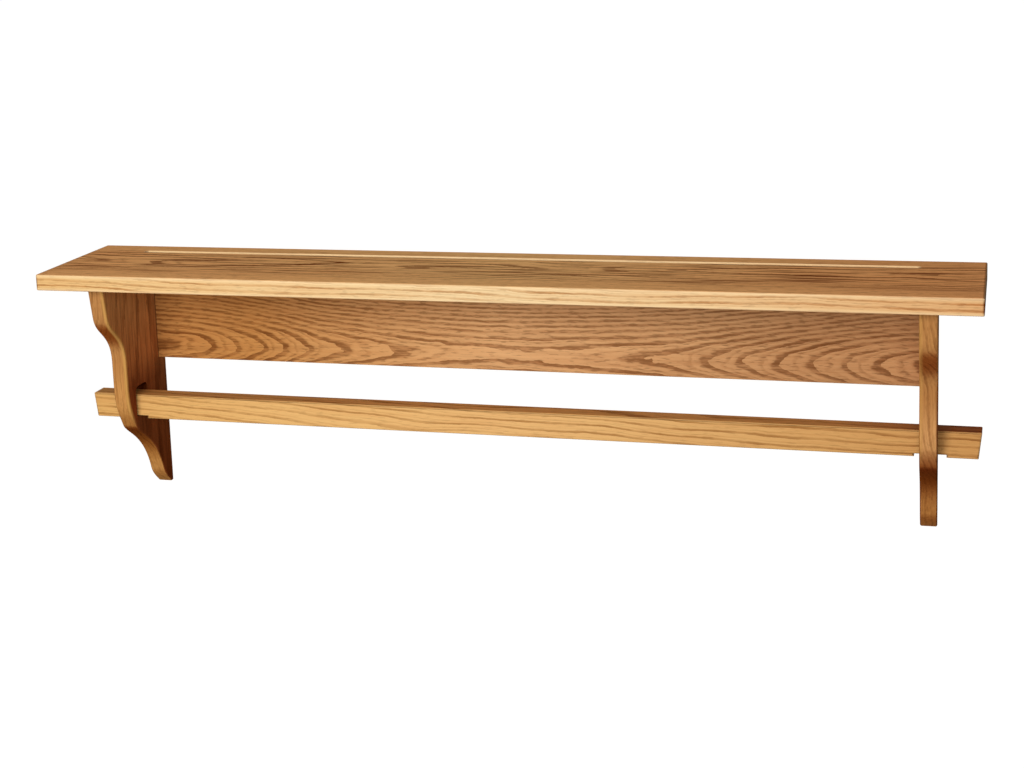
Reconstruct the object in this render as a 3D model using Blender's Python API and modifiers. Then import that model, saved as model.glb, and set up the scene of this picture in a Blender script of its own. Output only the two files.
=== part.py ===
# Quilt shelf: an oak wall shelf on two scrolled brackets, with a back rail and a loose quilt rail.
# Metres, +Z up. The origin is the middle of the back rail's rear face, on the wall plane Y = 0.
# The front of the shelf looks along -Y and its length runs along X.
import bpy
import bmesh
from math import acos, cos, pi, radians, sin
from mathutils import Matrix, Vector

# Shelf board
SHELF_LENGTH = 1.0668
SHELF_DEPTH = 0.18415
SHELF_THICKNESS = 0.01905
SHELF_EDGE_RADIUS = 0.0015
SHELF_END_OVERHANG = 0.0508      # past each bracket's outer face
SHELF_FRONT_OVERHANG = 0.0277    # past the brackets' noses

# Plate groove, cut with a round-nosed cutter and stopped short of the shelf's ends
GROOVE_WIDTH = 0.0095
GROOVE_FROM_WALL = 0.0349
GROOVE_END_SETBACK = 0.06985

# Bracket outline: depths are measured from the wall, drops from the bracket's top edge
BRACKET_THICKNESS = 0.01905
BRACKET_HEIGHT = 0.28575
BRACKET_EDGE_RADIUS = 0.0020
NOSE_DROP = 0.0411
NOSE_LEAN = 0.0081
BELLY_STRAIGHT = 0.0297
BELLY_ABOVE_SLOT_FLOOR = 0.0432
LIP_BELOW_SLOT_FLOOR = 0.0112
LIP_SETBACK = 0.0172
FOOT_DEPTH = 0.0233
FOOT_HEIGHT = 0.0228
TOE_DEPTH = 0.0030
LIP_LEAN = radians(28.6)         # leans are slopes of the outline, from upright
FOOT_LEAN = radians(18.0)
TOE_LEAN = radians(49.5)
OUTLINE_STEPS = 8

# How far the outline's curves reach before they bend: shares of a stretch at its start and end
STRAIGHT_REACH = 0.30
COVE_REACH = (0.30, 0.49)
BELLY_REACH = (0.49, 0.26)
SWEEP_REACH = (0.15, 0.52)
SOLE_REACH = (0.28, 0.38)

# Slot in each bracket for the quilt rail
SLOT_FLOOR_DROP = 0.1770
SLOT_HEADROOM = 0.0095           # free height over the resting rail
SLOT_SIDE_PLAY = 0.0030          # free depth before and behind the rail
SLOT_FRONT_WOOD = 0.0214         # wood left between the slot and the belly
SLOT_TOP_RADIUS = 0.0070
SLOT_FLOOR_RADIUS = 0.0020
SLOT_CORNER_STEPS = 5

# Back rail between the brackets
BACK_RAIL_HEIGHT = 0.1190
BACK_RAIL_THICKNESS = 0.01905
BACK_RAIL_EDGE_RADIUS = 0.0010

# Loose quilt rail, notched on its underside to sit over the brackets
QUILT_RAIL_SETBACK = 0.00635     # each end inside the shelf's end
QUILT_RAIL_DEPTH = 0.0254
QUILT_RAIL_HEIGHT = 0.0298
QUILT_RAIL_FROM_WALL = 0.0583
QUILT_RAIL_EDGE_RADIUS = 0.0015
QUILT_RAIL_UNDERCUT = 0.0035     # each end leans in by this at the underside
QUILT_RAIL_SHIFT = 0.0043        # the loose rail lies a little to the right
NOTCH_DEPTH = 0.0032
NOTCH_PLAY = 0.0075              # notch beyond each face of the bracket

# Blind dowels
DOWEL_DIAMETER = 0.0080
DOWEL_LENGTH = 0.0380
DOWEL_CHAMFER = 0.0008
BLIND_SKIN = 0.0070              # wood left over a blind dowel hole
END_DOWEL_MARGIN = 0.0300        # from the back rail's upper and lower edges
SHELF_DOWEL_FROM_BRACKET = 0.16355
BRACKET_DOWEL_FROM_WALL = 0.0480
BRACKET_DOWEL_FROM_NOSE = 0.0350
DOWEL_SIDES = 16

# Steel keyhole hangers let into the back rail's rear face
HANGER_FROM_BRACKET = 0.05715    # plate's middle from the bracket's inner face
HANGER_FROM_RAIL_TOP = 0.0400
HANGER_WIDTH = 0.0160
HANGER_LENGTH = 0.0440
HANGER_THICKNESS = 0.0016
KEYHOLE_ENTRY = 0.0100           # round hole that passes the wall screw's head
KEYHOLE_SLOT = 0.0050
KEYHOLE_RISE = 0.0080            # from the entry's middle to the slot's upper end
KEYHOLE_ENTRY_FALL = 0.0030      # entry's middle below the plate's middle
HEAD_POCKET_DEPTH = 0.0080       # behind the plate, for the wall screw's head
HEAD_POCKET_MARGIN = 0.0010

# Countersunk screws that hold the hangers
SCREW_FROM_PLATE_END = 0.0060
SCREW_HEAD = 0.0066
SCREW_SHANK = 0.0030
SCREW_LENGTH = 0.0120
SCREW_TIP = 0.0030
ROUND_SIDES = 20

# Room left between neighbouring pieces
FIT_GAP = 0.0003
WELD_DISTANCE = 0.000005
CUT_PAST = 0.0020                # how far a cutter runs out through an open face

# Heights and depths that follow from the sizes above
rail_top = BACK_RAIL_HEIGHT / 2
shelf_underside = rail_top + FIT_GAP
shelf_top = shelf_underside + SHELF_THICKNESS
bracket_outer = SHELF_LENGTH / 2 - SHELF_END_OVERHANG
bracket_inner = bracket_outer - BRACKET_THICKNESS
bracket_middle = (bracket_outer + bracket_inner) / 2
bracket_depth = SHELF_DEPTH - SHELF_FRONT_OVERHANG
slot_back = QUILT_RAIL_FROM_WALL - SLOT_SIDE_PLAY
slot_front = QUILT_RAIL_FROM_WALL + QUILT_RAIL_DEPTH + SLOT_SIDE_PLAY
slot_height = FIT_GAP + QUILT_RAIL_HEIGHT - NOTCH_DEPTH + SLOT_HEADROOM
belly_depth = slot_front + SLOT_FRONT_WOOD
rail_underside = rail_top - SLOT_FLOOR_DROP + FIT_GAP - NOTCH_DEPTH
dowel_hole = DOWEL_DIAMETER + 2 * FIT_GAP
in_shelf = SHELF_THICKNESS - BLIND_SKIN
in_bracket = BRACKET_THICKNESS - BLIND_SKIN
quilt_rail_half = SHELF_LENGTH / 2 - QUILT_RAIL_SETBACK
groove_length = SHELF_LENGTH - 2 * GROOVE_END_SETBACK
shelf_dowel_spot = bracket_inner - SHELF_DOWEL_FROM_BRACKET
hanger_spot = bracket_inner - HANGER_FROM_BRACKET
hanger_height = rail_top - HANGER_FROM_RAIL_TOP
screw_rise = HANGER_LENGTH / 2 - SCREW_FROM_PLATE_END

# Axes for flat outlines: a side view stands its page on Y and Z, a front view on X and Z
SIDE_VIEW = Matrix(((0, 0, -1), (-1, 0, 0), (0, 1, 0))).to_4x4()
FRONT_VIEW = Matrix(((1, 0, 0), (0, 0, -1), (0, 1, 0))).to_4x4()
ALONG_X = Matrix.Rotation(pi / 2, 4, "Y")
ALONG_Y = Matrix.Rotation(-pi / 2, 4, "X")


def clear_scene():
    for old in list(bpy.data.objects):
        bpy.data.objects.remove(old, do_unlink=True)


def new_collection(name):
    made = bpy.data.collections.new(name)
    bpy.context.scene.collection.children.link(made)
    return made


def finish_material(name, colour, roughness, metallic):
    made = bpy.data.materials.new(name)
    made.use_nodes = True
    shader = made.node_tree.nodes["Principled BSDF"]
    shader.inputs["Base Color"].default_value = (*colour, 1)
    shader.inputs["Roughness"].default_value = roughness
    shader.inputs["Metallic"].default_value = metallic
    return made


def add_object(name, mesh, collection, matrix=Matrix.Identity(4), finish=None):
    made = bpy.data.objects.new(name, mesh)
    made.matrix_world = matrix
    collection.objects.link(made)
    if finish:
        mesh.materials.append(finish)
    return made


def as_cutter(made):
    made.hide_render = True
    made.display_type = "WIRE"
    return made


def add_cutter(name, mesh, matrix):
    return as_cutter(add_object(name, mesh, cutters, matrix))


def cut(target, cutter):
    step = target.modifiers.new(cutter.name, "BOOLEAN")
    step.operation = "DIFFERENCE"
    step.solver = "EXACT"
    step.object = cutter


def ease_edges(target, radius, weighted=False):
    step = target.modifiers.new("eased_edges", "BEVEL")
    step.width = radius
    step.segments = 2
    step.limit_method = "WEIGHT" if weighted else "ANGLE"
    step.angle_limit = pi / 5


def weigh_edges(mesh, wanted):
    """Marks the edges to be eased: those whose two ends satisfy wanted."""
    shape = bmesh.new()
    shape.from_mesh(mesh)
    weight = shape.edges.layers.float.new("bevel_weight_edge")
    for edge in shape.edges:
        edge[weight] = float(wanted(edge.verts[0].co, edge.verts[1].co))
    shape.to_mesh(mesh)
    shape.free()


def box_mesh(name, size):
    mesh = bpy.data.meshes.new(name)
    shape = bmesh.new()
    bmesh.ops.create_cube(shape, size=1)
    bmesh.ops.scale(shape, vec=size, verts=shape.verts)
    shape.to_mesh(mesh)
    shape.free()
    return mesh


def rod_mesh(name, diameter, length, sides):
    mesh = bpy.data.meshes.new(name)
    shape = bmesh.new()
    radius = diameter / 2
    bmesh.ops.create_cone(
        shape, cap_ends=True, segments=sides, radius1=radius, radius2=radius, depth=length
    )
    shape.to_mesh(mesh)
    shape.free()
    return mesh


def turned_object(name, profile, sides, collection, matrix, finish=None):
    """A profile of (radius, height) points, listed from the top down, turned about its Z axis."""
    mesh = bpy.data.meshes.new(name)
    shape = bmesh.new()
    points = [shape.verts.new((radius, 0, height)) for radius, height in profile]
    for upper, lower in zip(points, points[1:]):
        shape.edges.new((upper, lower))
    shape.to_mesh(mesh)
    shape.free()
    made = add_object(name, mesh, collection, matrix, finish)
    step = made.modifiers.new("turned", "SCREW")
    step.axis = "Z"
    step.angle = 2 * pi
    step.steps = sides
    step.render_steps = sides
    step.use_merge_vertices = True
    step.merge_threshold = WELD_DISTANCE
    return made


def arc(middle, radius, start, end, steps):
    """Points of a round stretch between two angles, in radians."""
    angles = [start + (end - start) * step / steps for step in range(steps + 1)]
    return [middle + radius * Vector((cos(a), sin(a))) for a in angles]


def poly_spline(curve, points):
    spline = curve.splines.new("POLY")
    spline.points.add(len(points) - 1)
    for knot, place in zip(spline.points, points):
        knot.co = (place[0], place[1], 0, 1)
    spline.use_cyclic_u = True


def bezier_spline(curve, knots):
    """Knots are (place, handle before, handle after); the handles are places too."""
    spline = curve.splines.new("BEZIER")
    spline.bezier_points.add(len(knots) - 1)
    spline.resolution_u = OUTLINE_STEPS
    for knot, (place, before, after) in zip(spline.bezier_points, knots):
        knot.handle_left_type = "FREE"
        knot.handle_right_type = "FREE"
        knot.co = (*place, 0)
        knot.handle_left = (*before, 0)
        knot.handle_right = (*after, 0)
    spline.use_cyclic_u = True


def outline_curve(name, thickness):
    curve = bpy.data.curves.new(name, "CURVE")
    curve.dimensions = "2D"
    curve.fill_mode = "BOTH"
    curve.extrude = thickness / 2
    return curve


def outline_mesh(curve):
    """The flat outline as a closed mesh with whole, flat faces on both sides."""
    page = bpy.data.objects.new(curve.name, curve)
    cutters.objects.link(page)
    seen = page.evaluated_get(bpy.context.evaluated_depsgraph_get())
    mesh = bpy.data.meshes.new_from_object(seen)
    mesh.name = curve.name
    bpy.data.objects.remove(page)
    shape = bmesh.new()
    shape.from_mesh(mesh)
    bmesh.ops.remove_doubles(shape, verts=shape.verts, dist=WELD_DISTANCE)
    bmesh.ops.dissolve_limit(
        shape, angle_limit=pi / 900, verts=shape.verts, edges=shape.edges
    )
    bmesh.ops.recalc_face_normals(shape, faces=shape.faces)
    shape.to_mesh(mesh)
    shape.free()
    return mesh


def bracket_knots():
    """The bracket's scroll, from the top front corner down to the toe and up the wall."""
    top_front = Vector((bracket_depth, 0))
    nose = Vector((bracket_depth - NOSE_LEAN, -NOSE_DROP))
    belly_end = Vector((belly_depth, BELLY_ABOVE_SLOT_FLOOR - SLOT_FLOOR_DROP))
    belly = belly_end + Vector((0, BELLY_STRAIGHT))
    lip = Vector((belly_depth - LIP_SETBACK, -SLOT_FLOOR_DROP - LIP_BELOW_SLOT_FLOOR))
    foot = Vector((FOOT_DEPTH, FOOT_HEIGHT - BRACKET_HEIGHT))
    toe = Vector((TOE_DEPTH, -BRACKET_HEIGHT))
    heel = Vector((0, -BRACKET_HEIGHT))
    top_back = Vector((0, 0))

    down = Vector((0, -1))
    nose_run = (nose - top_front).normalized()
    lip_run = Vector((-sin(LIP_LEAN), -cos(LIP_LEAN)))
    foot_run = Vector((-sin(FOOT_LEAN), -cos(FOOT_LEAN)))
    toe_run = Vector((-sin(TOE_LEAN), -cos(TOE_LEAN)))
    nose_pull = STRAIGHT_REACH * (nose - top_front).length * nose_run
    belly_pull = STRAIGHT_REACH * BELLY_STRAIGHT * down
    cove = (nose - belly).length
    turn = (belly_end - lip).length
    sweep = (lip - foot).length
    sole = (foot - toe).length

    return [
        (top_front, top_front, top_front + nose_pull),
        (nose, nose - nose_pull, nose + COVE_REACH[0] * cove * nose_run),
        (belly, belly - COVE_REACH[1] * cove * down, belly + belly_pull),
        (belly_end, belly_end - belly_pull, belly_end + BELLY_REACH[0] * turn * down),
        (lip, lip - BELLY_REACH[1] * turn * lip_run, lip + SWEEP_REACH[0] * sweep * lip_run),
        (foot, foot - SWEEP_REACH[1] * sweep * foot_run, foot + SOLE_REACH[0] * sole * foot_run),
        (toe, toe - SOLE_REACH[1] * sole * toe_run, toe),
        (heel, heel, heel),
        (top_back, top_back, top_back),
    ]


def slot_outline():
    """The slot in side view, with wide upper corners and small lower ones."""
    floor = -SLOT_FLOOR_DROP
    top = floor + slot_height
    corners = [
        (slot_front - SLOT_TOP_RADIUS, top - SLOT_TOP_RADIUS, SLOT_TOP_RADIUS, 0),
        (slot_back + SLOT_TOP_RADIUS, top - SLOT_TOP_RADIUS, SLOT_TOP_RADIUS, pi / 2),
        (slot_back + SLOT_FLOOR_RADIUS, floor + SLOT_FLOOR_RADIUS, SLOT_FLOOR_RADIUS, pi),
        (slot_front - SLOT_FLOOR_RADIUS, floor + SLOT_FLOOR_RADIUS, SLOT_FLOOR_RADIUS, 3 * pi / 2),
    ]
    points = []
    for depth, drop, radius, start in corners:
        points += arc(Vector((depth, drop)), radius, start, start + pi / 2, SLOT_CORNER_STEPS)
    return points


def make_bracket(name, side, finish):
    curve = outline_curve(name, BRACKET_THICKNESS)
    bezier_spline(curve, bracket_knots())
    mesh = outline_mesh(curve)

    def on_front_rim(a, b):
        same_face = abs(a.z - b.z) < FIT_GAP
        at_wall = a.x < FIT_GAP and b.x < FIT_GAP
        at_shelf = a.y > -FIT_GAP and b.y > -FIT_GAP
        return same_face and not at_wall and not at_shelf

    weigh_edges(mesh, on_front_rim)
    place = Matrix.Translation((side * bracket_middle, 0, rail_top)) @ SIDE_VIEW
    made = add_object(name, mesh, parts, place, finish)
    ease_edges(made, BRACKET_EDGE_RADIUS, weighted=True)

    hole = outline_curve(name + "_slot", BRACKET_THICKNESS + 2 * CUT_PAST)
    poly_spline(hole, slot_outline())
    cut(made, add_cutter(name + "_slot", outline_mesh(hole), place))
    return made


def make_shelf_board(finish):
    middle = Vector((0, -SHELF_DEPTH / 2, shelf_underside + SHELF_THICKNESS / 2))
    mesh = box_mesh("shelf_board", (SHELF_LENGTH, SHELF_DEPTH, SHELF_THICKNESS))
    made = add_object("shelf_board", mesh, parts, Matrix.Translation(middle), finish)
    ease_edges(made, SHELF_EDGE_RADIUS)

    radius = GROOVE_WIDTH / 2
    straight = groove_length / 2 - radius
    quarter = ROUND_SIDES // 4
    nose = arc(Vector((0, straight)), radius, pi / 2, 0, quarter)
    tail = arc(Vector((0, -straight)), radius, 0, -pi / 2, quarter)
    profile = [(max(p.x, 0), p.y) for p in nose + tail]
    place = Matrix.Translation((0, -GROOVE_FROM_WALL, shelf_top)) @ ALONG_X
    cut(made, as_cutter(turned_object("plate_groove", profile, ROUND_SIDES, cutters, place)))
    return made


def make_back_rail(finish):
    size = (2 * (bracket_inner - FIT_GAP), BACK_RAIL_THICKNESS, BACK_RAIL_HEIGHT)
    mesh = box_mesh("back_rail", size)

    def on_lower_edge(a, b):
        return a.z < 0 and b.z < 0 and abs(a.x - b.x) > FIT_GAP

    weigh_edges(mesh, on_lower_edge)
    place = Matrix.Translation((0, -BACK_RAIL_THICKNESS / 2, 0))
    made = add_object("back_rail", mesh, parts, place, finish)
    ease_edges(made, BACK_RAIL_EDGE_RADIUS, weighted=True)
    return made


def make_quilt_rail(finish):
    """The loose rail in front view; its parent empty sits on the line along which it lifts."""
    low_half = quilt_rail_half - QUILT_RAIL_UNDERCUT
    notch_in = bracket_inner - NOTCH_PLAY
    notch_out = bracket_outer + NOTCH_PLAY
    right = [
        (notch_in, 0),
        (notch_in, NOTCH_DEPTH),
        (notch_out, NOTCH_DEPTH),
        (notch_out, 0),
        (low_half, 0),
        (quilt_rail_half, QUILT_RAIL_HEIGHT),
    ]
    left = [(-x, z) for x, z in reversed(right)]
    curve = outline_curve("quilt_rail", QUILT_RAIL_DEPTH)
    poly_spline(curve, right + left)
    mesh = outline_mesh(curve)

    lift = bpy.data.objects.new("rail_lift", None)
    depth = QUILT_RAIL_FROM_WALL + QUILT_RAIL_DEPTH / 2
    lift.location = (QUILT_RAIL_SHIFT, -depth, rail_underside)
    parts.objects.link(lift)
    made = add_object("quilt_rail", mesh, parts, FRONT_VIEW, finish)
    made.parent = lift
    ease_edges(made, QUILT_RAIL_EDGE_RADIUS)
    return made


def dowel_profile():
    radius = DOWEL_DIAMETER / 2
    half = DOWEL_LENGTH / 2
    return [
        (0, half),
        (radius - DOWEL_CHAMFER, half),
        (radius, half - DOWEL_CHAMFER),
        (radius, DOWEL_CHAMFER - half),
        (radius - DOWEL_CHAMFER, -half),
        (0, -half),
    ]


def add_dowel(name, place, finish, first, second):
    """A dowel along its own Z axis, with a blind hole for it in each of its two boards."""
    turned_object(name, dowel_profile(), DOWEL_SIDES, parts, place, finish)
    hole = rod_mesh(name + "_hole", dowel_hole, DOWEL_LENGTH + 2 * FIT_GAP, DOWEL_SIDES)
    cutter = add_cutter(name + "_hole", hole, place)
    cut(first, cutter)
    cut(second, cutter)


def keyhole_outline():
    """The keyhole in rear view: a round entry with a narrower slot rising from it."""
    entry = KEYHOLE_ENTRY / 2
    slot = KEYHOLE_SLOT / 2
    mouth = acos(slot / entry)
    middle = Vector((0, -KEYHOLE_ENTRY_FALL))
    upper = middle + Vector((0, KEYHOLE_RISE - slot))
    points = arc(middle, entry, pi - mouth, 2 * pi + mouth, ROUND_SIDES)
    return points + arc(upper, slot, 0, pi, ROUND_SIDES // 2)


def stadium_outline(width, length):
    radius = width / 2
    offset = Vector((0, length / 2 - radius))
    upper = arc(offset, radius, 0, pi, ROUND_SIDES // 2)
    return upper + arc(-offset, radius, pi, 2 * pi, ROUND_SIDES // 2)


def screw_profile(head, shank, length, tip):
    """A countersunk screw from its flat head down to its point."""
    sink = (head - shank) / 2
    return [(0, 0), (head / 2, 0), (shank / 2, -sink), (shank / 2, tip - length), (0, -length)]


def add_screw(name, place, finish, plate, board):
    profile = screw_profile(SCREW_HEAD, SCREW_SHANK, SCREW_LENGTH, SCREW_TIP)
    turned_object(name, profile, DOWEL_SIDES, parts, place, finish)
    room = 2 * FIT_GAP
    hole = screw_profile(SCREW_HEAD + room, SCREW_SHANK + room, SCREW_LENGTH + room, SCREW_TIP)
    hole[0] = (0, CUT_PAST)
    hole.insert(1, (hole[1][0], CUT_PAST))
    cutter = as_cutter(turned_object(name + "_hole", hole, DOWEL_SIDES, cutters, place))
    cut(plate, cutter)
    cut(board, cutter)


def add_hanger(side_name, side, board, steel, plated):
    """One keyhole plate flush in the rear face, its two screws, and the pocket behind the keyhole."""
    name = side_name + "_hanger"
    centre = Vector((side * hanger_spot, 0, hanger_height))
    sunk = HANGER_THICKNESS + FIT_GAP

    recess = outline_curve(name + "_recess", 2 * (sunk + FIT_GAP))
    poly_spline(recess, stadium_outline(HANGER_WIDTH + 2 * FIT_GAP, HANGER_LENGTH + 2 * FIT_GAP))
    rear_face = Matrix.Translation(centre) @ FRONT_VIEW
    cut(board, add_cutter(name + "_recess", outline_mesh(recess), rear_face))

    pocket = outline_curve(name + "_pocket", 2 * (sunk + HEAD_POCKET_DEPTH))
    poly_spline(pocket, stadium_outline(
        KEYHOLE_ENTRY + 2 * HEAD_POCKET_MARGIN,
        2 * (KEYHOLE_ENTRY_FALL + KEYHOLE_ENTRY / 2 + HEAD_POCKET_MARGIN),
    ))
    cut(board, add_cutter(name + "_pocket", outline_mesh(pocket), rear_face))

    outline = outline_curve(name, HANGER_THICKNESS)
    poly_spline(outline, stadium_outline(HANGER_WIDTH, HANGER_LENGTH))
    middle = centre - Vector((0, FIT_GAP + HANGER_THICKNESS / 2, 0))
    place = Matrix.Translation(middle) @ FRONT_VIEW
    plate = add_object(name, outline_mesh(outline), parts, place, steel)
    keyhole = outline_curve(name + "_keyhole", HANGER_THICKNESS + 2 * CUT_PAST)
    poly_spline(keyhole, keyhole_outline())
    cut(plate, add_cutter(name + "_keyhole", outline_mesh(keyhole), place))

    for level, rise in (("upper", screw_rise), ("lower", -screw_rise)):
        spot = centre + Vector((0, -FIT_GAP, rise))
        add_screw(
            f"{name}_{level}_screw", Matrix.Translation(spot) @ ALONG_Y, plated, plate, board
        )


clear_scene()
parts = new_collection("quilt_shelf")
cutters = new_collection("quilt_shelf_cutters")

oak = {
    "shelf_board": (0.40, 0.19, 0.065),
    "back_rail": (0.41, 0.21, 0.075),
    "left_bracket": (0.33, 0.15, 0.050),
    "right_bracket": (0.33, 0.15, 0.050),
    "quilt_rail": (0.55, 0.31, 0.110),
}
finishes = {
    name: finish_material(name + "_oak", colour, 0.38, 0) for name, colour in oak.items()
}
birch = finish_material("dowel_birch", (0.60, 0.45, 0.28), 0.6, 0)
steel = finish_material("zinc_plated_steel", (0.58, 0.57, 0.54), 0.35, 1)
plated = finish_material("bright_screw_steel", (0.50, 0.49, 0.47), 0.3, 1)

shelf = make_shelf_board(finishes["shelf_board"])
back_rail = make_back_rail(finishes["back_rail"])
make_quilt_rail(finishes["quilt_rail"])
brackets = {
    "left": make_bracket("left_bracket", -1, finishes["left_bracket"]),
    "right": make_bracket("right_bracket", 1, finishes["right_bracket"]),
}

rail_depth_middle = -BACK_RAIL_THICKNESS / 2
shelf_dowel_height = shelf_underside + in_shelf - DOWEL_LENGTH / 2
for side_name, side in (("left", -1), ("right", 1)):
    bracket = brackets[side_name]
    reach = side * (bracket_inner + in_bracket - DOWEL_LENGTH / 2)
    for level, height in (("upper", rail_top - END_DOWEL_MARGIN), ("lower", END_DOWEL_MARGIN - rail_top)):
        place = Matrix.Translation((reach, rail_depth_middle, height)) @ ALONG_X
        add_dowel(f"{side_name}_{level}_rail_dowel", place, birch, back_rail, bracket)

    depths = (("rear", BRACKET_DOWEL_FROM_WALL), ("front", bracket_depth - BRACKET_DOWEL_FROM_NOSE))
    for end, depth in depths:
        place = Matrix.Translation((side * bracket_middle, -depth, shelf_dowel_height))
        add_dowel(f"{side_name}_{end}_bracket_dowel", place, birch, shelf, bracket)

    add_hanger(side_name, side, back_rail, steel, plated)

for spot, side in (("left", -1), ("middle", 0), ("right", 1)):
    place = Matrix.Translation((side * shelf_dowel_spot, rail_depth_middle, shelf_dowel_height))
    add_dowel(f"{spot}_shelf_dowel", place, birch, shelf, back_rail)
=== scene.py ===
import bpy
import bmesh
from math import acos, cos, pi, radians, sin
from mathutils import Matrix, Vector


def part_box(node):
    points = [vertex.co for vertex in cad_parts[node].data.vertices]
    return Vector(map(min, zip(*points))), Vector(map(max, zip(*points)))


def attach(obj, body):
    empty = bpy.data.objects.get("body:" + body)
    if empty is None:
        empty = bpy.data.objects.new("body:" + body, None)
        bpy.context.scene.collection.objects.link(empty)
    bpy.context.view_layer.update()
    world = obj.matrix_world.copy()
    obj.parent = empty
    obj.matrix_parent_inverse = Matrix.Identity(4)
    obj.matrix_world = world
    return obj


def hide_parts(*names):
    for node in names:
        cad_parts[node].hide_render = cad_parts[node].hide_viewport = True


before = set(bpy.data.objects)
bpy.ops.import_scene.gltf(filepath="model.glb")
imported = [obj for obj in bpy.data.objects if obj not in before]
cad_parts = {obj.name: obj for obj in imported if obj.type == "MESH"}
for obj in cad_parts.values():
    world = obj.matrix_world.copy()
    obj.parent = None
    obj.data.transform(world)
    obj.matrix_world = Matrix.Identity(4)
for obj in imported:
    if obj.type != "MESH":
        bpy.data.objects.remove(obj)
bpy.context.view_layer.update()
scene = bpy.context.scene
mm = 0.001

# Camera where the photograph was taken from: right of the middle, a little above the shelf
cameraLook = {
    "place": (0.5557, -2.0737, 0.4962),  # metres
    "turnLeft": 17.468,                  # degrees
    "tiltDown": 10.008,
    "roll": -2.279,
    "focalPixels": 1852.3,
    "axisPixel": (436.3, 223.7),         # where the lens axis meets the picture
    "picture": (1024, 768),
    "sensor": 36.0,
}


def makeCamera(look):
    wide, high = look["picture"]
    data = bpy.data.cameras.new("photo_camera")
    data.sensor_width = look["sensor"]
    data.lens = look["focalPixels"] / wide * look["sensor"]
    data.shift_x = (wide / 2 - look["axisPixel"][0]) / wide
    data.shift_y = (look["axisPixel"][1] - high / 2) / wide
    camera = bpy.data.objects.new("photo_camera", data)
    scene.collection.objects.link(camera)
    turn = Matrix.Rotation(radians(look["turnLeft"]), 4, "Z")
    tilt = Matrix.Rotation(radians(90 - look["tiltDown"]), 4, "X")
    roll = Matrix.Rotation(radians(look["roll"]), 4, "Z")
    camera.matrix_world = Matrix.Translation(look["place"]) @ turn @ tilt @ roll
    scene.camera = camera


makeCamera(cameraLook)
print("camera placed")


# Materials: colours are sRGB hex, pattern sizes are millimetres
def hexColour(text):
    parts = [int(text[i:i + 2], 16) / 255 for i in (1, 3, 5)]
    linear = [p / 12.92 if p <= 0.04045 else ((p + 0.055) / 1.055) ** 2.4 for p in parts]
    return (*linear, 1)


def addNode(tree, kind, settings=None, links=None):
    node = tree.nodes.new("ShaderNode" + kind)
    for key, value in (settings or {}).items():
        if key == "stops":  # of a colour ramp
            ramp = node.color_ramp.elements
            ramp.remove(ramp[1])
            ramp[0].position, ramp[0].color = value[0]
            for position, colour in value[1:]:
                ramp.new(position).color = colour
        elif isinstance(key, int) or key in node.inputs:
            node.inputs[key].default_value = value
        else:
            setattr(node, key, value)
    for key, source in (links or {}).items():
        tree.links.new(getattr(source, "outputs", [source])[0], node.inputs[key])
    return node


def newMaterial(name):
    material = bpy.data.materials.new(name)
    material.use_nodes = True
    return material, material.node_tree, material.node_tree.nodes["Principled BSDF"]


# Red oak, planed, stained honey brown and lacquered satin. It is ring porous: each year starts with a dark
# band of open pores and ends in smooth pale wood, so the eye sees cathedrals on flat faces, fine parallel
# lines on edges, short dark pore dashes everywhere and dark dotted end grain.
oakPatterns = {              # size along the grain and across it, detail
    "sway": (230, 42, 1),    # slow wander of the whole figure
    "ripple": (26, 10, 1),   # waviness of single rings
    "ragged": (7, 2.2, 1),   # broken edge of the pore band
    "fade": (75, 9, 1),      # stretches where a ring fades out
    "flame": (120, 5, 1),    # dark flames on broad faces
    "pores": (14, 2.0, 2),   # real pores are 0.3 mm wide, drawn wider so that they show
    "fibre": (80, 2.4, 2),   # fibres, also drawn coarser than they are
    "drift": (380, 55, 1),   # slow change of tone along the board
}
oakSeason = (                # share of early wood through the year, with a faint second flush
    (0.0, 1.0), (0.26, 0.9), (0.36, 0.2), (0.46, 0.0), (0.56, 0.0), (0.62, 0.4), (0.70, 0.3), (0.78, 0.0),
)
redOak = {                       # what all the boards share; a span holds two levels of a pattern
    "faceTurn": (0.3, 0.8),      # from where a face's direction counts, to where it counts fully
    "fadeSpan": (0.36, 0.6),
    "toneSpan": (0.3, 0.7),
    "flameSpan": (0.5, 0.66),
    "poreSpan": (0.56, 0.7),
    "poreCrowding": 0.22,        # early wood has more pores
    "fibreShare": 0.6,           # of the tone, the rest is drift
    "poreRough": 0.2,            # open pores are rougher than the lacquer
    "bandDepth": 0.3,            # early wood sinks a little, pores sink fully
    "relief": (0.3, 0.25),       # strength, depth
    "ior": 1.45,
}
plainOak = {                     # the usual case for a board; each board's own look follows with its shape
    "lean": 0.0,                 # how fast the heart moves through the board, along it
    "slant": 0.0,                # how fast it moves across
    "crowding": 0.0,             # how much narrower the rings grow away from the heart
    "tipTight": 0.0,             # how much narrower the bands are at the tips of the cathedrals
    "edgeSwell": 1.0,            # share of the rings' swelling that edges show
    "shadeSoakTint": "#FFFFFF",       # stain and painted shade on cuts through the board
    "satin": 0.5,                # roughness
    "gloss": 0.0,                # mirror level, low as the photograph shows no bright reflections
}


def greyStops(stops):
    return [(position, (share, share, share, 1)) for position, share in stops]


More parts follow.
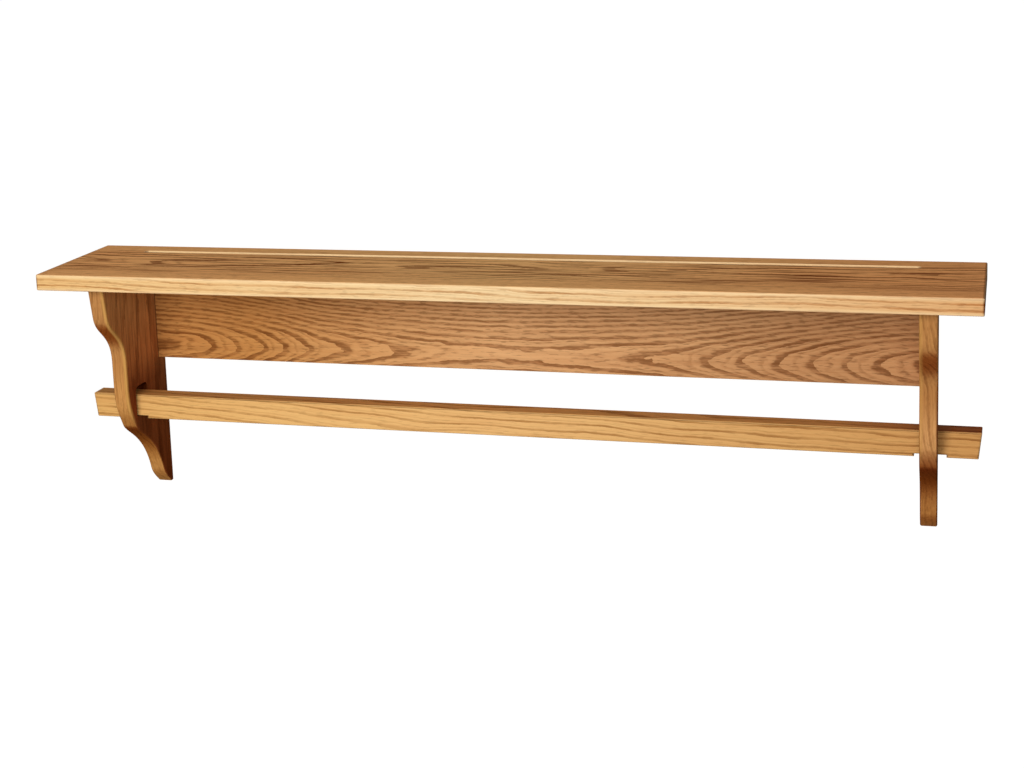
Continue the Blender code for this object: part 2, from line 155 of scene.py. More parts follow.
def oakGrain(tree, look, place):
    # millimetres along, across and through the board, and the noise patterns laid out in them
    axes = addNode(tree, "SeparateXYZ", {}, {0: place.outputs["Object"]})
    alongAcrossThrough = {i: axes.outputs[a] for i, a in enumerate(look["axes"])}
    turned = addNode(tree, "CombineXYZ", {}, alongAcrossThrough)
    grain = addNode(tree, "VectorMath", {"operation": "SCALE", "Scale": 1 / mm}, {0: turned})
    seeded = addNode(tree, "VectorMath", {"operation": "ADD", 1: look["seed"]}, {0: grain})
    field = {}
    for label, (along, across, detail) in oakPatterns.items():
        size = {"operation": "DIVIDE", 1: (along, across, across)}
        sized = addNode(tree, "VectorMath", size, {0: seeded})
        field[label] = addNode(tree, "TexNoise", {"Scale": 1, "Detail": detail}, {"Vector": sized})
    return addNode(tree, "SeparateXYZ", {}, {0: grain}), field


def oakFaces(tree, look, place, spot, node):
    # how far a face is end grain, an edge or broad; the last millimetres before an end also darken: soaked
    # stain, with painted shade at the ends' corners and joints
    normal = addNode(tree, "SeparateXYZ", {}, {0: place.outputs["Normal"]})
    start, full = redOak["faceTurn"]
    turn = {"interpolation_type": "SMOOTHSTEP", "From Min": start, "From Max": full}
    faces = {}
    for label, axis in zip(("end", "edge", "broad"), look["axes"]):
        size = addNode(tree, "Math", {"operation": "ABSOLUTE"}, {0: normal.outputs[axis]})
        faces[label] = addNode(tree, "MapRange", turn, {0: size})
    low, high = [corner[look["axes"][0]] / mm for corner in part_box(node)]
    middle, half = (low + high) / 2, (high - low) / 2
    away = addNode(tree, "Math", {"operation": "SUBTRACT", 1: middle}, {0: spot})
    away = addNode(tree, "Math", {"operation": "ABSOLUTE"}, {0: away})
    soak = {"interpolation_type": "SMOOTHSTEP", "From Min": half - look["endShadeSoak"], "From Max": half}
    nearEnd = addNode(tree, "MapRange", soak, {0: away})
    faces["end"] = addNode(tree, "Math", {"operation": "MAXIMUM"}, {0: faces["end"], 1: nearEnd})
    return faces


def oakRadius(tree, look, spot):
    # distance from the trunk's heart, which may lean and slant along the board
    lean = {"operation": "MULTIPLY_ADD", 1: look["lean"], 2: look["heart"][1]}
    leaned = addNode(tree, "Math", lean, {0: spot})
    slant = {"operation": "MULTIPLY_ADD", 1: look["slant"], 2: look["heart"][0]}
    slanted = addNode(tree, "Math", slant, {0: spot})
    across = addNode(tree, "Math", {"operation": "SUBTRACT"}, {0: spot.outputs[1], 1: slanted})
    through = addNode(tree, "Math", {"operation": "SUBTRACT"}, {0: spot.outputs[2], 1: leaned})
    arm = addNode(tree, "CombineXYZ", {}, {0: across, 1: through})
    radius = addNode(tree, "VectorMath", {"operation": "LENGTH"}, {0: arm}).outputs["Value"]
    side = addNode(tree, "Math", {"operation": "ABSOLUTE"}, {0: across})
    steep = addNode(tree, "Math", {"operation": "DIVIDE"}, {0: side, 1: radius})  # 0 at the cathedrals' tips
    square = addNode(tree, "Math", {"operation": "MULTIPLY"}, {0: across, 1: across})
    crowded = {"operation": "MULTIPLY_ADD", 1: look["crowding"]}
    return addNode(tree, "Math", crowded, {0: square, 2: radius}), steep


def oakSwell(tree, look, spot, field, faces, radius):
    # the rings swell and shrink along the board, on some boards less so on edges, and wander
    swells = look["swells"]
    first, last = swells[0][0], swells[-1][0]
    least, most = min(size for at, size in swells), max(size for at, size in swells)
    along = addNode(tree, "MapRange", {"From Min": first, "From Max": last}, {0: spot})
    shares = [((at - first) / (last - first), (size - least) / (most - least)) for at, size in swells]
    swell = addNode(tree, "ValToRGB", {"stops": greyStops(shares)}, {0: along})
    swell.color_ramp.interpolation = "B_SPLINE"
    calm = {"operation": "MULTIPLY_ADD", 1: look["edgeSwell"] - 1, 2: 1}
    calm = addNode(tree, "Math", calm, {0: faces["edge"]})
    swell = addNode(tree, "Math", {"operation": "MULTIPLY"}, {0: swell, 1: calm})
    grown = {"operation": "MULTIPLY_ADD", 1: most - least}
    radius = addNode(tree, "Math", grown, {0: swell, 2: radius})
    warps = ("sway", "ripple", "ragged")
    for label in warps:
        shift = {"operation": "MULTIPLY_ADD", 1: look[label]}
        radius = addNode(tree, "Math", shift, {0: field[label], 2: radius})
    level = {"operation": "SUBTRACT", 1: sum(look[label] for label in warps) / 2 - least}
    return addNode(tree, "Math", level, {0: radius})


def oakBands(tree, look, field, radius, steep):
    # early wood starts sharply at each ring and soon fades out, sooner at the cathedrals' tips
    rings = addNode(tree, "Math", {"operation": "DIVIDE", 1: look["ring"]}, {0: radius})
    year = addNode(tree, "Math", {"operation": "FLOOR"}, {0: rings})
    season = addNode(tree, "Math", {"operation": "FRACT"}, {0: rings})
    squeeze = {"operation": "MULTIPLY_ADD", 1: -look["tipTight"], 2: look["tight"] + look["tipTight"]}
    tight = addNode(tree, "Math", squeeze, {0: steep})
    season = addNode(tree, "Math", {"operation": "MULTIPLY"}, {0: season, 1: tight})
    chance = addNode(tree, "TexWhiteNoise", {"noise_dimensions": "1D"}, {"W": year})
    strength = addNode(tree, "MapRange", {"To Min": look["faintYear"], "To Max": 1}, {0: chance})
    band = addNode(tree, "ValToRGB", {"stops": greyStops(oakSeason)}, {0: season})
    early = addNode(tree, "Math", {"operation": "MULTIPLY"}, {0: band, 1: strength})
    low, high = redOak["fadeSpan"]
    fading = {"From Min": low, "From Max": high, "To Min": look["faintStretch"], "To Max": 1}
    fade = addNode(tree, "MapRange", fading, {0: field["fade"]})
    return addNode(tree, "Math", {"operation": "MULTIPLY"}, {0: early, 1: fade})


def oakColour(tree, look, spot, field, faces, early, pores):
    # pale late wood first, then bands of early wood, flames and pores over it
    low, high = redOak["toneSpan"]
    span = {"From Min": low, "From Max": high}
    tone, streak = [addNode(tree, "MapRange", span, {0: field[label]}) for label in ("drift", "fibre")]
    mixed = addNode(tree, "Mix", {0: redOak["fibreShare"]}, {2: tone, 3: streak})
    late = {"data_type": "RGBA", 6: hexColour(look["pale"]), 7: hexColour(look["mid"])}
    colour = addNode(tree, "Mix", late, {0: mixed})

    # on broad faces the figure is strongest in a belt over the heart
    belt, width = look["figureBelt"]
    apart = addNode(tree, "Math", {"operation": "SUBTRACT", 1: belt}, {0: spot.outputs[1]})
    apart = addNode(tree, "Math", {"operation": "ABSOLUTE"}, {0: apart})
    spread = {"interpolation_type": "SMOOTHSTEP", "From Min": width / 2, "From Max": width}
    spread.update({"To Min": 1, "To Max": 0})
    inBelt = addNode(tree, "MapRange", spread, {0: apart})
    bands = {"To Min": look["plainShare"], "To Max": look["bandShare"]}
    share = addNode(tree, "MapRange", bands, {0: inBelt})
    share = addNode(tree, "Mix", {2: look["edgeShare"]}, {0: faces["broad"], 3: share})
    share = addNode(tree, "Math", {"operation": "MULTIPLY"}, {0: early, 1: share})
    dark = {"data_type": "RGBA", 6: hexColour(look["edgeBand"]), 7: hexColour(look["band"])}
    dark = addNode(tree, "Mix", dark, {0: faces["broad"]})
    links = {0: share, 6: colour.outputs[2], 7: dark.outputs[2]}
    colour = addNode(tree, "Mix", {"data_type": "RGBA"}, links)

    low, high = redOak["flameSpan"]
    rise = {"interpolation_type": "SMOOTHSTEP", "From Min": low, "From Max": high}
    rise["To Max"] = look["flameShare"]
    flame = addNode(tree, "MapRange", rise, {0: field["flame"]})
    broadBelt = addNode(tree, "Math", {"operation": "MULTIPLY"}, {0: faces["broad"], 1: inBelt})
    flameShare = addNode(tree, "Math", {"operation": "MULTIPLY"}, {0: broadBelt, 1: flame})
    poreShare = addNode(tree, "Mix", {2: look["edgePores"], 3: look["poreShare"]}, {0: faces["broad"]})
    poreShare = addNode(tree, "Math", {"operation": "MULTIPLY"}, {0: pores, 1: poreShare})
    dark = {"data_type": "RGBA", 7: hexColour(look["pore"])}
    for share in (flameShare, poreShare):
        colour = addNode(tree, "Mix", dark, {0: share, 6: colour.outputs[2]})
    return colour


def oakStainAndLight(tree, look, spot, faces, colour):
    # the tints change along the board and between broad faces, edges and end grain: stain, with painted light
    # and shade that follow how the light falls on each piece
    stainAndLightMix = {"data_type": "RGBA", "blend_type": "MULTIPLY"}
    for label, amount in faces.items():
        tints = look[label + "Tints"]
        first, last = tints[0][0], tints[-1][0]
        along = addNode(tree, "MapRange", {"From Min": first, "From Max": last}, {0: spot})
        stops = [((at - first) / max(last - first, 1), hexColour(tint)) for at, tint in tints]
        tints = addNode(tree, "ValToRGB", {"stops": stops}, {0: along})
        colour = addNode(tree, "Mix", stainAndLightMix, {0: amount, 6: colour.outputs[2], 7: tints})

    # cuts through the board are darkened: soaked stain with painted shade in the slot; rims are lightened:
    # wear with a painted highlight
    shadeSoaked = addNode(tree, "Attribute", {"attribute_name": "soakedCut"})
    stainAndLightMix[7] = hexColour(look["shadeSoakTint"])
    colour = addNode(tree, "Mix", stainAndLightMix, {0: shadeSoaked.outputs["Fac"], 6: colour.outputs[2]})
    rubbed = addNode(tree, "Attribute", {"attribute_name": "rubbedEdge"})
    share = {"operation": "MULTIPLY", 1: look["litRubShare"]}
    wornLit = addNode(tree, "Math", share, {0: rubbed.outputs["Fac"]})
    light = {"data_type": "RGBA", 7: hexColour(look["rubbed"])}
    return addNode(tree, "Mix", light, {0: wornLit, 6: colour.outputs[2]})


def oakFinish(name, look, node):
    material, tree, shader = newMaterial(name)
    place = addNode(tree, "TexCoord")
    spot, field = oakGrain(tree, look, place)
    faces = oakFaces(tree, look, place, spot, node)
    radius, steep = oakRadius(tree, look, spot)
    radius = oakSwell(tree, look, spot, field, faces, radius)
    early = oakBands(tree, look, field, radius, steep)
    dense = {"operation": "MULTIPLY_ADD", 1: redOak["poreCrowding"]}
    crowd = addNode(tree, "Math", dense, {0: early, 2: field["pores"]})
    low, high = redOak["poreSpan"]
    opening = {"interpolation_type": "SMOOTHSTEP", "From Min": low, "From Max": high}
    pores = addNode(tree, "MapRange", opening, {0: crowd})
    colour = oakColour(tree, look, spot, field, faces, early, pores)
    colour = oakStainAndLight(tree, look, spot, faces, colour)
    rough = {"To Min": look["satin"], "To Max": look["satin"] + redOak["poreRough"]}
    roughness = addNode(tree, "MapRange", rough, {0: pores})
    sink = {"operation": "MULTIPLY_ADD", 1: redOak["bandDepth"]}
    depth = addNode(tree, "Math", sink, {0: early, 2: pores})
    strength, deep = redOak["relief"]
    grooves = {"invert": True, "Strength": strength, "Distance": deep * mm}
    relief = addNode(tree, "Bump", grooves, {"Height": depth})
    tree.links.new(colour.outputs[2], shader.inputs["Base Color"])
    tree.links.new(roughness.outputs[0], shader.inputs["Roughness"])
    tree.links.new(relief.outputs[0], shader.inputs["Normal"])
    shader.inputs["IOR"].default_value = redOak["ior"]
    shader.inputs["Specular IOR Level"].default_value = look["gloss"]
    return material


fineNoise = {"Scale": 1, "Detail": 2}  # for the small pieces

# Birch, turned and compressed: pale, close and plain, with faint lengthwise fibres
birch = {"pale": "#D9BE93", "dark": "#BF9C6B", "fibre": (1.2, 1.2, 14), "rough": 0.62, "relief": (0.2, 0.1)}


def birchFinish(name, look):
    material, tree, shader = newMaterial(name)
    place = addNode(tree, "TexCoord")
    size = {"operation": "DIVIDE", 1: [s * mm for s in look["fibre"]]}
    sized = addNode(tree, "VectorMath", size, {0: place.outputs["Object"]})
    fibre = addNode(tree, "TexNoise", fineNoise, {"Vector": sized})
    tones = {"data_type": "RGBA", 6: hexColour(look["pale"]), 7: hexColour(look["dark"])}
    colour = addNode(tree, "Mix", tones, {0: fibre})
    strength, deep = look["relief"]
    relief = addNode(tree, "Bump", {"Strength": strength, "Distance": deep * mm}, {"Height": fibre})
    tree.links.new(colour.outputs[2], shader.inputs["Base Color"])
    tree.links.new(relief.outputs[0], shader.inputs["Normal"])
    shader.inputs["Roughness"].default_value = look["rough"]
    return material


# Zinc-plated steel, pressed: cool grey with a faint spangle and fine rolling lines, glossy where rubbed
zinc = {
    "bright": "#C9C8C2", "dull": "#9C9B95", "spangle": 3.0, "line": (0.25, 9, 0.25),
    "rough": (0.28, 0.46), "roughSpan": (0.3, 0.7), "relief": (0.15, 0.05),
}
# Screw steel, bright plated: a little darker and smoother than the plate
screwSteel = dict(
    zinc, bright="#B9B7B0", dull="#85837C", spangle=1.2, line=(0.3, 0.3, 0.3), rough=(0.22, 0.4),
)


def platedSteel(name, look):
    material, tree, shader = newMaterial(name)
    place = addNode(tree, "TexCoord")
    fields = []
    for size in ((look["spangle"],) * 3, look["line"]):
        share = {"operation": "DIVIDE", 1: [s * mm for s in size]}
        sized = addNode(tree, "VectorMath", share, {0: place.outputs["Object"]})
        fields.append(addNode(tree, "TexNoise", fineNoise, {"Vector": sized}))
    tones = {"data_type": "RGBA", 6: hexColour(look["dull"]), 7: hexColour(look["bright"])}
    colour = addNode(tree, "Mix", tones, {0: fields[0]})
    labels = ("From Min", "From Max", "To Min", "To Max")
    polish = dict(zip(labels, (*look["roughSpan"], *look["rough"])))
    gloss = addNode(tree, "MapRange", polish, {0: fields[1]})
    strength, deep = look["relief"]
    relief = addNode(tree, "Bump", {"Strength": strength, "Distance": deep * mm}, {"Height": fields[1]})
    tree.links.new(colour.outputs[2], shader.inputs["Base Color"])
    tree.links.new(gloss.outputs[0], shader.inputs["Roughness"])
    tree.links.new(relief.outputs[0], shader.inputs["Normal"])
    shader.inputs["Metallic"].default_value = 1
    return material


# Shapes: outlines are drawn on a flat page in metres, with the wood on the left of the line
sideView = Matrix(((0, 0, -1), (-1, 0, 0), (0, 1, 0))).to_4x4()   # page on depth and height
frontView = Matrix(((1, 0, 0), (0, 0, -1), (0, 1, 0))).to_4x4()   # page on length and height
rimSteps = 4          # faces around a rounded rim
fineRimSteps = 3      # and around a small one
cornerSteps = 4
weld = mm / 1000      # points nearer than this are one
flush = mm / 10       # what is nearer than this to a plane lies on it
pointed = mm / 1e4    # radius of a point
sharpAngle = 35       # degrees, from which an edge stays crisp
bothLitRubbed = ((1, 0, 0), (1, 0, 0))    # for each rim: paleness of wear with a painted highlight, reach down the wall, reach over the face
noneLitRubbed = ((0, 0, 0), (0, 0, 0))
fits = {                # sizes that pieces share, in millimetres like all that follow
    "fit": 0.3,         # air between pieces that meet
    "notch": 3.2,       # depth of the quilt rail's notches
    "entry": 10.0,      # width of a keyhole's round entry
    "entryFall": 3.0,   # how far it lies below the plate's middle
}


def arcPoints(middle, radius, start, end, steps):
    angles = [start + (end - start) * i / steps for i in range(steps + 1)]
    return [middle + radius * Vector((cos(a), sin(a))) for a in angles]


def curvePoints(knots, steps):  # knots are place, handle before, handle after; straight runs stay two points
    points = []
    for (start, _, pull), (end, push, _) in zip(knots, knots[1:] + knots[:1]):
        straight = (pull - start).length < weld and (push - end).length < weld
        for i in range(1 if straight else steps):
            part = i / steps
            rest = 1 - part
            near = rest**3 * start + 3 * rest * rest * part * pull
            points.append(near + 3 * rest * part * part * push + part**3 * end)
    return points


def roundCorners(corners, steps):  # corners are x, y, radius
    points = []
    for i, (x, y, radius) in enumerate(corners):
        corner = Vector((x, y))
        if not radius:
            points.append(corner)
            continue
        before = (Vector(corners[i - 1][:2]) - corner).normalized()
        after = (Vector(corners[(i + 1) % len(corners)][:2]) - corner).normalized()
        half = before.angle(after) / 2
        middle = corner + (before + after).normalized() * radius / sin(half)
        reach = radius * cos(half) / sin(half)
        first = corner + before * reach - middle
        last = corner + after * reach - middle
        points += [middle + radius * first.lerp(last, k / steps).normalized() for k in range(steps + 1)]
    return points


def stadium(width, length, steps, middle=Vector((0, 0))):
    radius = width / 2
    rise = Vector((0, length / 2 - radius))
    upper = arcPoints(middle + rise, radius, 0, pi, steps)
    return upper + arcPoints(middle - rise, radius, pi, 2 * pi, steps)


def newShape():
    shape = bmesh.new()
    shape.verts.layers.float.new("rubbedEdge")
    shape.verts.layers.float.new("soakedCut")
    return shape


def addLoop(shape, place, points, level):
    return [shape.verts.new(place @ Vector((p[0], p[1], level))) for p in points]


def joinLoops(shape, lower, upper):
    for i in range(len(lower)):
        shape.faces.new((lower[i - 1], lower[i], upper[i], upper[i - 1])).smooth = True


def fillFlat(shape, *loops):
    edges = []
    for loop in loops:
        for a, b in zip(loop, loop[1:] + loop[:1]):
            edges.append(shape.edges.get((a, b)) or shape.edges.new((a, b)))
    bmesh.ops.triangle_fill(shape, use_beauty=True, use_dissolve=False, edges=edges)


def inwardStep(outline, i, eased):
    # how a point moves when the eased lines beside it move one unit into the wood
    into = outline[i] - outline[i - 1]
    away = outline[(i + 1) % len(outline)] - outline[i]
    before = Vector((-into.y, into.x)).normalized()
    after = Vector((-away.y, away.x)).normalized()
    lead, trail = float(eased[i - 1]), float(eased[i])
    if lead == trail:
        return lead * (before + after) / (1 + before.dot(after))
    turn = before.x * after.y - before.y * after.x
    return Vector((lead * after.y - trail * before.y, trail * before.x - lead * after.x)) / turn


def rimRows(steps, pale, down, over):
    # angle, way down the wall, way over the face and paleness for each row of points around a rim
    angles = [pi / 2 * k / steps for k in range(steps + 1)]
    litRubs = [1 if over else cos(angle) if down else sin(2 * angle) for angle in angles]
    rows = [(angle, 0, 0, pale * litRub) for angle, litRub in zip(angles, litRubs)]
    if down:
        rows.insert(0, (0, down, 0, 0))
    if over:
        rows.append((pi / 2, 0, over, 0))
    return rows


def easedWall(shape, place, outline, half, radius, steps=rimSteps, eased=None, soak=0, wornLit=bothLitRubbed):
    # the wall of a board with rounded rims; gives back the outlines of its two flat faces
    litRubLayer = shape.verts.layers.float["rubbedEdge"]
    cutLayer = shape.verts.layers.float["soakedCut"]
    count = len(outline)
    eased = eased or [True] * count
    rims = ([], [])
    for i, point in enumerate(outline):
        inset = inwardStep(outline, i, eased)
        for rim, side, litRub in zip(rims, (1, -1), wornLit):
            rows = rimRows(steps, *litRub)
            if not (eased[i - 1] or eased[i]):
                rim.append([shape.verts.new(place @ Vector((*point, side * half)))] * len(rows))
                continue
            rim.append([])
            for angle, drop, shift, paleness in rows:
                spot = point + inset * (shift + radius * (1 - cos(angle)))
                level = half - drop - radius + radius * sin(angle)
                vert = shape.verts.new(place @ Vector((*spot, side * level)))
                # rims lighten with wear and a painted highlight; cuts darken with soaked stain and painted
                # shade
                vert[litRubLayer] = paleness
                vert[cutLayer] = soak * cos(angle)
                rim[-1].append(vert)
    for i in range(count):
        j = (i + 1) % count
        if eased[i]:
            for rim in rims:
                for k in range(len(rim[i]) - 1):
                    shape.faces.new((rim[i][k], rim[j][k], rim[j][k + 1], rim[i][k + 1])).smooth = True
            shape.faces.new((rims[0][i][0], rims[0][j][0], rims[1][j][0], rims[1][i][0])).smooth = True
        else:
            border = rims[0][i][::-1] + rims[1][i] + rims[1][j][::-1] + rims[0][j]
            shape.faces.new(list(dict.fromkeys(border)))
    return [[spot[-1] for spot in rim] for rim in rims]


def finishPiece(name, shape, material, body, node):
    bmesh.ops.remove_doubles(shape, verts=shape.verts, dist=weld)
    bmesh.ops.dissolve_degenerate(shape, edges=shape.edges, dist=weld)
    bmesh.ops.recalc_face_normals(shape, faces=shape.faces)
    mesh = bpy.data.meshes.new(name)
    shape.to_mesh(mesh)
    shape.free()
    mesh.set_sharp_from_angle(angle=radians(sharpAngle))
    mesh.materials.append(material)
    piece = bpy.data.objects.new(name, mesh)
    scene.collection.objects.link(piece)
    even = piece.modifiers.new("even_normals", "WEIGHTED_NORMAL")
    even.keep_sharp = True
    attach(piece, body)
    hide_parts(node)


# Shelf board: flat sawn, so its top shows long streaks and its front edge a few fine lines
shelfBoard = {
    "edge": 1.5, "wornLitReach": (3.5, 2.5),                                  # from the top, from below; the lightened rims are wear with a painted highlight
    "groove": 9.5, "grooveFromWall": 34.9, "grooveSetback": 69.85,
    "grooveRim": 0.5, "rimHalfway": 0.3, "grooveWornLit": 2.0, "steps": 10,   # halfway is a share of the rim
}
shelfOak = {
    **plainOak,
    "axes": (0, 1, 2), "seed": (310, 40, 7),                           # along, across, through
    "heart": (-80.6, -6), "slant": 0.01, "ring": 3.8,                  # across, through; width of a year
    "swells": ((-533, 0), (-250, 9), (0, 16), (250, 12), (533, 4)),    # place along, growth
    "edgeSwell": 0.2, "sway": 12, "ripple": 1.0, "ragged": 0.8,        # the last three: how rings wander
    "tight": 0.75, "tipTight": 0.7,                                    # bands are narrower with more
    "faintYear": 0.45, "faintStretch": 0.5,                            # bands are never fainter than this
    "figureBelt": (-90, 80),                                           # middle and width of it, across
    "bandShare": 1.0, "plainShare": 0.34, "edgeShare": 0.85,           # bands in it, beside it, on edges
    "flameShare": 0.7, "poreShare": 0.3, "edgePores": 0.2,
    "pale": "#FEE2B0", "mid": "#F8D09C", "edgeBand": "#BC7020", "band": "#6A3208", "pore": "#66300C",
    "edgeTints": ((-533, "#E8DAC0"), (0, "#EFF1F0"), (533, "#E4CEBA")),    # place along, stain with painted light: brighter in the middle, shaded towards the ends
    "broadTints": ((-533, "#FFDABA"), (0, "#FFE6C8"), (533, "#FACEAE")),
    # end grain is darker, and its last millimetres darken as painted shade on the rounded corners; the rims
    # lighten with wear and a painted highlight
    "endTints": ((0, "#84583C"),), "endShadeSoak": 3.0, "rubbed": "#FCDFAE", "litRubShare": 0.5,
}


def cutGroove(shape, place, half, length, size):  # round nosed; gives back its outline on the top
    radius = size["groove"] / 2 * mm
    rim = size["grooveRim"] * mm
    centre = Vector((0, -size["grooveFromWall"] * mm))
    fade = size["grooveWornLit"] * mm
    turned = size["rimHalfway"] * rim
    levels = [(radius + rim + fade, half), (radius + rim, half), (radius + turned, half - turned)]
    for k in range(1, size["steps"] + 1):
        angle = pi / 2 * k / size["steps"]
        levels.append((max(radius * cos(angle), pointed), half - radius * sin(angle)))
    rings = []
    for ringRadius, level in levels:
        line = stadium(2 * ringRadius, length - 2 * (radius - ringRadius), size["steps"])
        rings.append(addLoop(shape, place, [centre + Vector((p.y, -p.x)) for p in line], level))
    litRub = shape.verts.layers.float["rubbedEdge"]
    for vert in sum(rings[1:], []):  # walls lightened: a painted highlight, with the paler wood of a cut made after staining
        vert[litRub] = 1
    for upper, lower in zip(rings, rings[1:]):
        joinLoops(shape, upper, lower)
    return rings[0]


def makeShelfBoard(size, look):
    low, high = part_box("shelf_board")
    middle = (low + high) / 2
    place = Matrix.Translation((0, 0, middle.z))
    half = (high.z - low.z) / 2
    edge = size["edge"] * mm
    corners = [(low.x, low.y), (high.x, low.y), (high.x, high.y), (low.x, high.y)]
    outline = roundCorners([(x, y, edge) for x, y in corners], cornerSteps)
    shape = newShape()
    wornLit = [(1, reach * mm, 0) for reach in size["wornLitReach"]]
    top, bottom = easedWall(shape, place, outline, half, edge, wornLit=wornLit)
    length = high.x - low.x - 2 * size["grooveSetback"] * mm
    fillFlat(shape, top, cutGroove(shape, place, half, length, size))
    fillFlat(shape, bottom)
    material = oakFinish("red_oak_shelf_satin", look, "shelf_board")
    finishPiece("oak_shelf_board", shape, material, "shelf", "shelf_board")


makeShelfBoard(shelfBoard, shelfOak)
print("shelf board made")


# Brackets: scrolled sides with upright grain; rims are rounded over, but not against the wall and the shelf
bracketShape = {
    **fits,
    "noseDrop": 41.1, "noseLean": 8.1, "bellyStraight": 29.7, "bellyAboveSlot": 43.2,
    "lipBelowSlot": 11.2, "lipSetback": 17.2, "footDepth": 23.3, "footHeight": 22.8, "toeDepth": 3.0,
    "lipLean": 28.6, "footLean": 18.0, "toeLean": 49.5,               # degrees from upright
    "straight": 0.30, "cove": (0.30, 0.49), "belly": (0.49, 0.26),    # curve handles, shares of the span
    "sweep": (0.15, 0.52), "sole": (0.28, 0.38), "steps": 18,
    "slotPlay": 3.0, "slotHeadroom": 9.5, "slotFrontWood": 21.4,
    "slotTop": 7.0, "slotFloor": 2.0, "slotRim": 0.8, "slotSteps": 8,
    "rim": 2.0, "wornLitReach": 2.5,
    "wornLitAbove": (-12, 16),                                           # over the slot's floor: no lightening, full; the lightening is wear with a painted highlight
    "toeOut": 0.0,
}
bracketOak = {
    **plainOak,
    "axes": (2, 1, 0), "seed": (20, 610, 95),
    "heart": (-57.6, -322.4), "lean": 0.01, "slant": 0.04, "ring": 6.0,
    "swells": ((-226, 4.7), (-60, 8.0), (60, 6.2)), "sway": 16, "ripple": 2.5, "ragged": 1.4,
    "tight": 1.0, "faintYear": 0.4, "faintStretch": 0.4,
    "figureBelt": (-80, 400), "bandShare": 0.58, "plainShare": 0.58, "edgeShare": 0.58,
    "flameShare": 0.3, "poreShare": 0.15, "edgePores": 0.15,
    "pale": "#E6B070", "mid": "#CA9258", "edgeBand": "#8F5A2A", "band": "#8F5A2A", "pore": "#54300F",
    # tints along the height are stain with painted light and shade: edges darker near the top under the
    # shelf, broad faces darker towards the foot, end grain darker at the lip and cove and lighter at the sole
    # as if lit from below
    "edgeTints": ((-220, "#EADFCA"), (-140, "#F0E0B8"), (-95, "#F4ECDA"), (-50, "#DDD0C0"), (50, "#E2D8D0")),
    "broadTints": ((-226, "#A87058"), (-80, "#B88E82"), (-45, "#F8D6CA"), (30, "#FFF8F4")),
    "endTints": ((-226, "#FFF8EE"), (-190, "#DCBC9E"), (-160, "#C4A180"), (-130, "#A27055"), (10, "#D09D70")),
    # the slot's walls darken with soaked stain and painted shade; the rims lighten with wear and a painted
    # highlight
    "endShadeSoak": 2.5, "rubbed": "#D4A258", "litRubShare": 0.7, "shadeSoakTint": "#6A4432",
}


def scrollOutline(size, depth, height, slotFloor, slotFront):
    belly = slotFront + size["slotFrontWood"] * mm
    topFront = Vector((depth, 0))
    nose = Vector((depth - size["noseLean"] * mm, -size["noseDrop"] * mm))
    bellyEnd = Vector((belly, slotFloor + size["bellyAboveSlot"] * mm))
    bellyTop = bellyEnd + Vector((0, size["bellyStraight"] * mm))
    lip = Vector((belly - size["lipSetback"] * mm, slotFloor - size["lipBelowSlot"] * mm))
    foot = Vector((size["footDepth"] * mm, size["footHeight"] * mm - height))
    toe = Vector((size["toeDepth"] * mm, -height))
    heel = Vector((0, -height))
    topBack = Vector((0, 0))
    down = Vector((0, -1))
    noseRun = (nose - topFront).normalized()
    lipRun, footRun, toeRun = [
        Vector((-sin(radians(size[k])), -cos(radians(size[k])))) for k in ("lipLean", "footLean", "toeLean")
    ]
    nosePull = size["straight"] * (nose - topFront)
    bellyPull = size["straight"] * size["bellyStraight"] * mm * down
    cove, turn = (nose - bellyTop).length, (bellyEnd - lip).length
    sweep, sole = (lip - foot).length, (foot - toe).length
    knots = [
        (topFront, topFront, topFront + nosePull),
        (nose, nose - nosePull, nose + size["cove"][0] * cove * noseRun),
        (bellyTop, bellyTop - size["cove"][1] * cove * down, bellyTop + bellyPull),
        (bellyEnd, bellyEnd - bellyPull, bellyEnd + size["belly"][0] * turn * down),
        (lip, lip - size["belly"][1] * turn * lipRun, lip + size["sweep"][0] * sweep * lipRun),
        (foot, foot - size["sweep"][1] * sweep * footRun, foot + size["sole"][0] * sole * footRun),
        (toe, toe - size["sole"][1] * sole * toeRun, toe),
        (heel, heel, heel),
        (topBack, topBack, topBack),
    ]
    return curvePoints(knots, size["steps"])[::-1]


